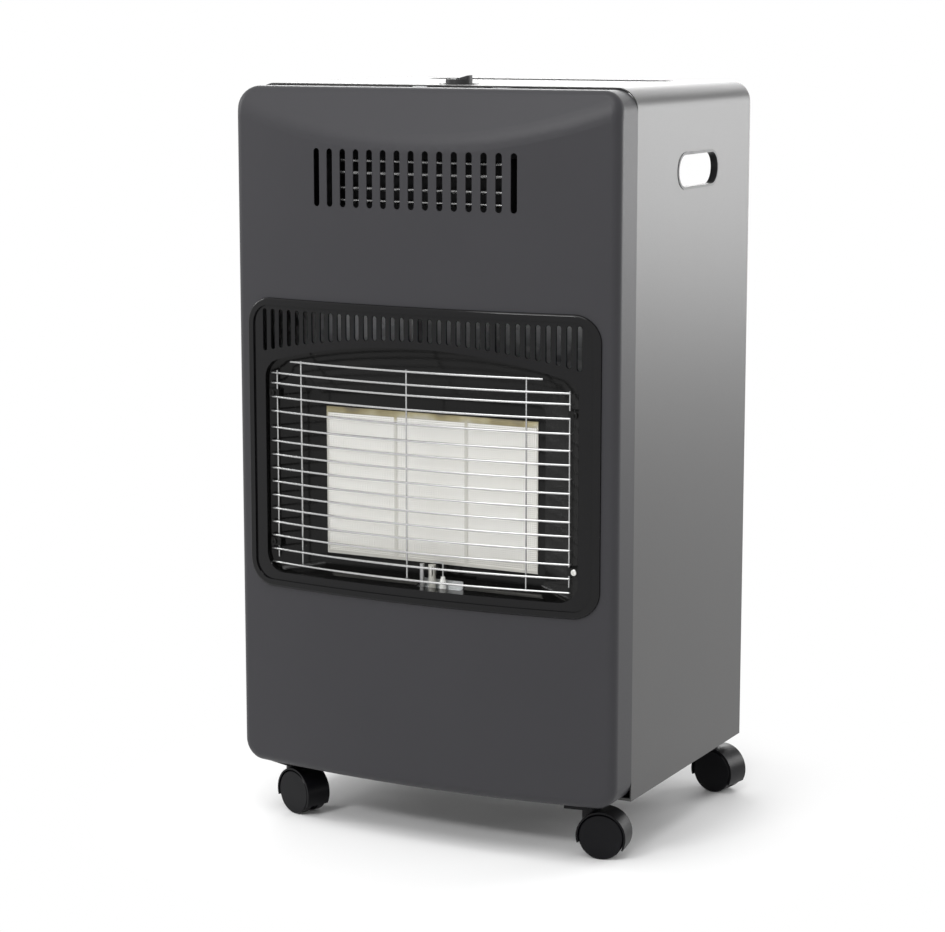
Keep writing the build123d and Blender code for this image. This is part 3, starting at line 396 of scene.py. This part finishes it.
def mouldedPlastic(name, look):
    finish = Finish(name)
    grain = finish.noise(look["grainScale"], 3.0)
    scuffs = finish.noise(look["scuffScale"], 5.0)
    worn = finish.step(scuffs, look["wornFrom"], look["wornTo"])
    return finish.set(
        {
            "Base Color": finish.blend(worn, tone(look["colour"]), tone(look["colour"], look["worn"])),
            "Roughness": look["rough"] + grain * look["grainRough"] + worn * look["wornRough"],
            "Normal": finish.bump(grain, look["grainStrength"], look["grainDepth"]),
            "Specular IOR Level": look["shine"],
        }
    )


blackPlastic = {
    "colour": (0.020, 0.020, 0.021),
    "worn": 1.8,
    "wornFrom": 0.60,
    "wornTo": 0.72,
    "wornRough": 0.08,
    "rough": 0.38,
    "shine": 0.45,
    "grainScale": 1300.0,
    "grainRough": 0.10,
    "grainStrength": 0.30,
    "grainDepth": 0.00012,
    "scuffScale": 40.0,
}
castorPlastic = dict(blackPlastic, colour=(0.004, 0.004, 0.005), rough=0.26, shine=0.13, grainStrength=0.15)
leadRubber = dict(blackPlastic, colour=(0.030, 0.029, 0.028), rough=0.55, shine=0.30)
whiteGlaze = dict(
    blackPlastic,
    colour=(0.84, 0.84, 0.81),
    worn=0.90,
    rough=0.14,
    shine=0.55,
    grainStrength=0.04,
    scuffScale=90.0,
)

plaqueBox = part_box("burner_plaque_centre")
finishes = {
    "case_paint": paintedSteel("casePaint", casePaint),
    "side_paint": paintedSteel("litSidePaint", litSidePaint),
    "baffle_paint": paintedSteel("shadedBafflePaint", shadedBafflePaint),
    "bezel_gloss": glossEnamel("bezelGloss", bezelGloss),
    "tray_enamel": glossEnamel("trayEnamel", trayEnamel),
    "guard_chrome": brightMetal("guardChrome", guardChrome),
    "screw_steel": brightMetal("screwSteel", screwSteel),
    "burner_steel": heatedSteel("burnerSteel", burnerSteel),
    "plaque_ceramic": perforatedCeramic("plaqueCeramic", plaqueCeramic, plaqueBox[0].y),
    "plated_steel": zincSheet("plateZinc", plateZinc),
    "pipe_aluminium": brightMetal("pipeAluminium", pipeAluminium),
    "brass": brightMetal("turnedBrass", turnedBrass),
    "insulator": mouldedPlastic("whiteGlaze", whiteGlaze),
    "lead_rubber": mouldedPlastic("leadRubber", leadRubber),
    "valve_alloy": brightMetal("valveAlloy", valveAlloy),
    "black_plastic": mouldedPlastic("blackPlastic", blackPlastic),
    "castor_plastic": mouldedPlastic("castorPlastic", castorPlastic),
    "stem_steel": brightMetal("stemSteel", stemSteel),
}


# ---- the carried-over nodes take the finish of their slot
smoothAngle = math.radians(35)
bpy.ops.object.select_all(action="DESELECT")
for subpart in frame["record"]["subparts"]:
    piece = frame["nodes"][subpart["node"]]
    piece.data.materials.clear()
    piece.data.materials.append(finishes[subpart["material_slot"]])
print("finishes on", len(frame["nodes"]), "nodes")


def finishPiece(piece, name, slot, body, *stoodFor):
    bpy.ops.object.transform_apply(location=True, rotation=True, scale=True)
    bpy.ops.object.shade_smooth_by_angle(angle=smoothAngle)
    piece.name = name
    piece.data.materials.clear()
    piece.data.materials.append(finishes[slot])
    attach(piece, body)
    if stoodFor:
        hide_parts(*stoodFor)
    piece.select_set(False)
    return piece


def selectFaces(piece, wanted):
    # in edit mode, leaves only the wanted faces selected
    mesh = bmesh.from_edit_mesh(piece.data)
    bpy.ops.mesh.select_all(action="DESELECT")
    for face in mesh.faces:
        if wanted(face):
            face.select_set(True)
    bmesh.update_edit_mesh(piece.data)


# ---- ceramic plaques: a slab whose face is pierced by straight rows of small holes
plaque = {"holePitch": 1.9 * mm, "holeRim": 0.50 * mm, "holeDepth": 0.9 * mm}
facingFront = -0.9  # a face whose normal's y is below this faces the front
nearby = 0.1 * mm


def piercedPlaque(node, name):
    low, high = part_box(node)
    size = high - low
    middle = (low + high) / 2
    bpy.ops.mesh.primitive_grid_add(
        x_subdivisions=round(size.x / plaque["holePitch"]),
        y_subdivisions=round(size.z / plaque["holePitch"]),
        size=1,
        location=(middle.x, low.y, middle.z),
        rotation=(math.radians(90), 0, 0),
    )
    slab = bpy.context.object
    slab.scale = (size.x, size.z, 1)
    bpy.ops.object.transform_apply(location=True, rotation=True, scale=True)
    bpy.ops.object.mode_set(mode="EDIT")
    bpy.ops.mesh.select_mode(type="FACE")
    bpy.ops.mesh.select_all(action="SELECT")
    bpy.ops.mesh.extrude_region_move(TRANSFORM_OT_translate={"value": (0, size.y, 0)})
    bpy.ops.mesh.select_all(action="SELECT")
    bpy.ops.mesh.normals_make_consistent(inside=False)
    selectFaces(
        slab,
        lambda face: face.normal.y < facingFront and abs(face.calc_center_median().y - low.y) < nearby,
    )
    bpy.ops.mesh.inset(thickness=plaque["holeRim"], use_individual=True)
    bpy.ops.mesh.extrude_region_move(TRANSFORM_OT_translate={"value": (0, plaque["holeDepth"], 0)})
    bpy.ops.object.mode_set(mode="OBJECT")
    return finishPiece(slab, name, "plaque_ceramic", "cabinet", node)


for side in ("left", "centre", "right"):
    piercedPlaque("burner_plaque_" + side, "piercedPlaque_" + side)
print("plaques pierced")


# ---- folded lips that hold the plaques in along their top and foot
lip = {
    "height": 4.6 * mm,
    "footHeight": 2.2 * mm,
    "ahead": 0.25 * mm,  # how far the lip's middle lies in front of the plaques
    "thick": 0.45 * mm,
    "lap": 1.0 * mm,
    "edge": 0.2 * mm,
}


def retainingLip(name, foot, height):
    left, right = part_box("burner_plaque_left")[0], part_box("burner_plaque_right")[1]
    middle = ((left.x + right.x) / 2, left.y - lip["ahead"], foot + height / 2)
    bpy.ops.mesh.primitive_cube_add(size=1, location=middle)
    strip = bpy.context.object
    strip.scale = (right.x - left.x + 2 * lip["lap"], lip["thick"], height)
    bpy.ops.object.transform_apply(location=True, rotation=True, scale=True)
    rounded = strip.modifiers.new("rounded", "BEVEL")
    rounded.width = lip["edge"]
    rounded.segments = 2
    bpy.ops.object.modifier_apply(modifier="rounded")
    return finishPiece(strip, name, "burner_steel", "cabinet")


plaqueLow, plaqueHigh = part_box("burner_plaque_centre")
retainingLip("topLip", plaqueHigh.z - lip["height"], lip["height"] + lip["edge"])
retainingLip("footLip", plaqueLow.z - lip["edge"], lip["footHeight"])
print("plaque lips folded")


# ---- guard: bowed wires whose ends turn straight back, welded to braces and end uprights behind them
guard = {
    "wire": 1.05 * mm,
    "wireSides": 10,
    "lowest": 268.0 * mm,
    "pitch": 13.65 * mm,
    "rows": 15,
    "lifts": {13: 3.4 * mm, 12: 3.2 * mm, 11: 2.6 * mm},  # rows that sit high; the lowest row is 0
    "reach": 163.2 * mm,
    "turn": 1.8 * mm,
    "tail": 1.6 * mm,
    "topReach": 138.0 * mm,
    "topRise": 12.6 * mm,
    "bowRadius": 767.1 * mm,
    "bowCentre": 596.3 * mm,
    "bowSteps": 28,
    "turnSteps": 4,
    "upright": 0.9 * mm,
    "overlap": 1.4 * mm,  # of the braces past the lowest and the highest wire
    "endFoot": 5.0 * mm,
    "endTop": 2.0 * mm,
    "endRoom": 0.6 * mm,
    "weld": 0.01 * mm,
    "braces": (-130.0 * mm, -6.0 * mm, 118.0 * mm),
    "ends": (-161.5 * mm, 159.5 * mm),
    "shift": -3.6 * mm,
}


def guardFront(side):
    # where a bowed wire's middle lies at a given distance from the guard's middle
    return guard["bowCentre"] - math.sqrt(guard["bowRadius"] ** 2 - side**2)


def bowedWire(reach, hooked):
    # one swept wire at the guard's lowest row, from its left tail to its right one
    half = math.asin(reach / guard["bowRadius"])
    height = guard["lowest"]
    front = guardFront(reach)
    turn = guard["turn"]
    # from the wire's left end to the middle of its turn
    inward = Vector((math.sin(half), math.cos(half), 0)) * turn
    leftHook = Vector((-reach, front, height)) + inward
    start = leftHook + Vector((-turn, guard["tail"], 0)) if hooked else Vector((-reach, front, height))
    quarter = math.radians(90) - half
    bpy.ops.mesh.primitive_circle_add(
        vertices=guard["wireSides"],
        radius=guard["wire"],
        fill_type="NGON",
        location=start,
        rotation=(math.radians(90), 0, 0 if hooked else quarter),
    )
    wire = bpy.context.object
    bpy.ops.object.transform_apply(location=True, rotation=True, scale=True)
    bpy.ops.object.mode_set(mode="EDIT")
    bpy.ops.mesh.select_mode(type="FACE")
    bpy.ops.mesh.select_all(action="SELECT")
    if hooked:
        bpy.ops.mesh.extrude_region_move(TRANSFORM_OT_translate={"value": (0, -guard["tail"], 0)})
        bpy.ops.mesh.spin(steps=guard["turnSteps"], angle=quarter, center=leftHook, axis=(0, 0, -1))
    bpy.ops.mesh.spin(
        steps=guard["bowSteps"], angle=2 * half, center=(0, guard["bowCentre"], height), axis=(0, 0, -1)
    )
    if hooked:
        rightHook = Vector((-leftHook.x, leftHook.y, height))
        bpy.ops.mesh.spin(steps=guard["turnSteps"], angle=quarter, center=rightHook, axis=(0, 0, -1))
        bpy.ops.mesh.extrude_region_move(TRANSFORM_OT_translate={"value": (0, guard["tail"], 0)})
    bpy.ops.mesh.select_all(action="SELECT")
    bpy.ops.mesh.remove_doubles(threshold=guard["weld"])
    bpy.ops.mesh.normals_make_consistent(inside=False)
    bpy.ops.object.mode_set(mode="OBJECT")
    wire.select_set(False)
    return wire


def copied(piece, place):
    # a copy with its own mesh, moved by place
    twin = piece.copy()
    twin.data = piece.data.copy()
    twin.location = place
    bpy.context.collection.objects.link(twin)
    return twin


def upright(x, y, foot, top):
    bpy.ops.mesh.primitive_cylinder_add(
        vertices=guard["wireSides"],
        radius=guard["upright"],
        depth=top - foot,
        location=(x, y, (foot + top) / 2),
    )
    bar = bpy.context.object
    rounded = bar.modifiers.new("rounded", "BEVEL")
    rounded.width = guard["upright"] / 3
    rounded.segments = 2
    bpy.ops.object.modifier_apply(modifier="rounded")
    bar.select_set(False)
    return bar


lowest = guard["lowest"]
highest = lowest + (guard["rows"] - 1) * guard["pitch"]
row = bowedWire(guard["reach"], True)
wires = [
    copied(row, (guard["shift"], 0, n * guard["pitch"] + guard["lifts"].get(n, 0)))
    for n in range(guard["rows"])
]
topRow = bowedWire(guard["topReach"], False)
wires.append(copied(topRow, (guard["shift"], 0, highest + guard["topRise"] - lowest)))
for used in (row, topRow):
    bpy.data.objects.remove(used)
behind = guard["wire"] + guard["upright"]
braceTop = highest + guard["topRise"] + guard["overlap"]
for x in guard["braces"]:
    wires.append(upright(x, guardFront(x) + behind, lowest - guard["overlap"], braceTop))
for x in guard["ends"]:
    back = guardFront(x) + behind + guard["endRoom"]
    wires.append(upright(x, back, lowest + guard["endFoot"], highest + guard["endTop"]))
bpy.ops.object.select_all(action="DESELECT")
for wire in wires:
    wire.select_set(True)
bpy.context.view_layer.objects.active = wires[0]
bpy.ops.object.join()
finishPiece(bpy.context.object, "bowedGuard", "guard_chrome", "cabinet", "wire_guard")
print("guard wires", guard["rows"] + 1)


# ---- screws that hold the guard: a domed head with a cross recess
screw = {
    "sides": 20,
    "radius": 3.0 * mm,
    "dome": 0.45 * mm,
    "slotHalf": 0.35 * mm,
    "slotReach": 1.6 * mm,
    "slotDepth": 0.9 * mm,
}


def crossHead(x, z, front, back, radius):
    bpy.ops.mesh.primitive_cylinder_add(
        vertices=screw["sides"],
        radius=radius,
        depth=back - front,
        location=(x, (front + back) / 2, z),
        rotation=(math.radians(90), 0, 0),
    )
    head = bpy.context.object
    bpy.ops.object.transform_apply(location=True, rotation=True, scale=True)
    dome = head.modifiers.new("dome", "BEVEL")
    dome.width = screw["dome"]
    dome.segments = 3
    bpy.ops.object.modifier_apply(modifier="dome")
    for turn in (0, 90):
        bpy.ops.mesh.primitive_cube_add(size=1, location=(x, front, z), rotation=(0, math.radians(turn), 0))
        cutter = bpy.context.object
        cutter.scale = (2 * screw["slotReach"], 2 * screw["slotDepth"], 2 * screw["slotHalf"])
        bpy.ops.object.transform_apply(location=True, rotation=True, scale=True)
        bpy.ops.object.select_all(action="DESELECT")
        head.select_set(True)
        bpy.context.view_layer.objects.active = head
        cut = head.modifiers.new("cut", "BOOLEAN")
        cut.object = cutter
        cut.operation = "DIFFERENCE"
        bpy.ops.object.modifier_apply(modifier="cut")
        bpy.data.objects.remove(cutter)
    head.select_set(False)
    return head


# painted light: the four heads are the same screws, but the lower right one takes a bright steel finish as a
# painted highlight and the other three take the black enamel as painted shade
low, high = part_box("guard_screws")
heads = [
    crossHead(x, z, low.y, high.y, screw["radius"])
    for x in (low.x + screw["radius"], high.x - screw["radius"])
    for z in (low.z + screw["radius"], high.z - screw["radius"])
]
bpy.ops.object.select_all(action="DESELECT")
litHead = heads.pop(2)  # the lower right one
for head in heads:
    head.select_set(True)
bpy.context.view_layer.objects.active = heads[0]
bpy.ops.object.join()
finishPiece(bpy.context.object, "shadedScrews", "tray_enamel", "cabinet", "guard_screws")
litHead.select_set(True)
bpy.context.view_layer.objects.active = litHead
finishPiece(litHead, "litScrew", "screw_steel", "cabinet", "guard_screws")
print("screws cut")


# ---- floor, light and camera
studio = {
    "floorSize": 40.0,
    "floorColour": (0.88, 0.88, 0.88),
    "fadeFrom": 0.24,
    "fadeTo": 0.42,
    "ambient": 0.72,
}
lamps = {
    "frontHigh": {"place": (-0.7, -3.4, 2.5), "aim": (0, 0, 0.4), "size": (1.0, 0.5), "power": 52.0},
    "topFront": {"place": (0.0, -1.6, 3.2), "aim": (0, 0, 0), "size": (2.4, 2.0), "power": 46.0},
    "left": {"place": (-2.8, -0.6, 1.6), "aim": (0, 0, 0.45), "size": (0.35, 1.3), "power": 20.0},
    "rightBack": {"place": (1.5, 2.2, 0.72), "aim": (0.2, 0, 0.62), "size": (1.0, 0.9), "power": 23.0},
    "backTop": {"place": (-1.2, 3.3, 1.72), "aim": (0, 0, 0.7), "size": (3.4, 1.0), "power": 58.0},
}
camera = {
    "place": (1.21484, -2.39152, 0.81075),
    "elevation": 9.65,
    "azimuth": 27.342,
    "lens": 101.63,
    "sensor": 36.0,
}


def makeFloor():
    # near the heater the floor takes its shadow; further out it fades to the white backdrop
    finish = Finish("floorPaper")
    across, along = finish.axes()[:2]
    reach = (across * across + along * along).maths("SQRT")
    fade = finish.step(reach, studio["fadeFrom"], studio["fadeTo"])
    finish.set({"Base Color": tone(studio["floorColour"]), "Roughness": 0.9, "Specular IOR Level": 0.1})
    paper = finish.node("Emission", {}, {"Color": (1, 1, 1, 1), "Strength": 1.0})
    path = finish.node("LightPath", {}, {}).socket.node
    rays = ("Is Camera Ray", "Is Glossy Ray", "Is Transmission Ray")
    seen = [Wire(finish, path.outputs[ray]) for ray in rays]
    shown = seen[0].maths("MAXIMUM", seen[1].maths("MAXIMUM", seen[2]))
    mixed = finish.node(
        "MixShader", {}, {0: fade * shown, 1: Wire(finish, finish.shader.outputs[0]), 2: paper}
    )
    output = [node for node in finish.tree.nodes if node.type == "OUTPUT_MATERIAL"][0]
    finish.tree.links.new(mixed.socket, output.inputs["Surface"])
    bpy.ops.mesh.primitive_plane_add(size=studio["floorSize"], location=(0, 0, 0))
    floor = bpy.context.object
    floor.name = "floor"
    floor.data.materials.append(finish.material)
    floor.select_set(False)


def makeWorld():
    world = bpy.data.worlds.new("studio")
    bpy.context.scene.world = world
    world.use_nodes = True
    tree = world.node_tree
    tree.nodes.clear()
    output = tree.nodes.new("ShaderNodeOutputWorld")
    background = tree.nodes.new("ShaderNodeBackground")
    path = tree.nodes.new("ShaderNodeLightPath")
    seen = path.outputs["Is Camera Ray"]
    for other in ("Is Glossy Ray", "Is Transmission Ray"):
        either = tree.nodes.new("ShaderNodeMath")
        either.operation = "MAXIMUM"
        tree.links.new(seen, either.inputs[0])
        tree.links.new(path.outputs[other], either.inputs[1])
        seen = either.outputs[0]
    strength = tree.nodes.new("ShaderNodeMapRange")
    tree.links.new(seen, strength.inputs["Value"])
    strength.inputs["To Min"].default_value = studio["ambient"]
    strength.inputs["To Max"].default_value = 1.0
    tree.links.new(strength.outputs[0], background.inputs["Strength"])
    tree.links.new(background.outputs[0], output.inputs["Surface"])
    background.inputs["Color"].default_value = (1, 1, 1, 1)


def makeLamp(name, lamp):
    bpy.ops.object.light_add(type="AREA", location=lamp["place"])
    made = bpy.context.object
    made.name = name
    made.data.shape = "RECTANGLE"
    made.data.size, made.data.size_y = lamp["size"]
    made.data.energy = lamp["power"]
    facing = Vector(lamp["aim"]) - Vector(lamp["place"])
    made.rotation_euler = facing.to_track_quat("-Z", "Y").to_euler()
    made.select_set(False)


makeFloor()
makeWorld()
for name, lamp in lamps.items():
    makeLamp(name, lamp)
bpy.ops.object.camera_add(
    location=camera["place"],
    rotation=(math.radians(90 - camera["elevation"]), 0, math.radians(camera["azimuth"])),
)
bpy.context.object.data.lens = camera["lens"]
bpy.context.object.data.sensor_width = camera["sensor"]
bpy.context.scene.camera = bpy.context.object
bpy.context.scene.view_settings.view_transform = "Standard"
print("studio ready")
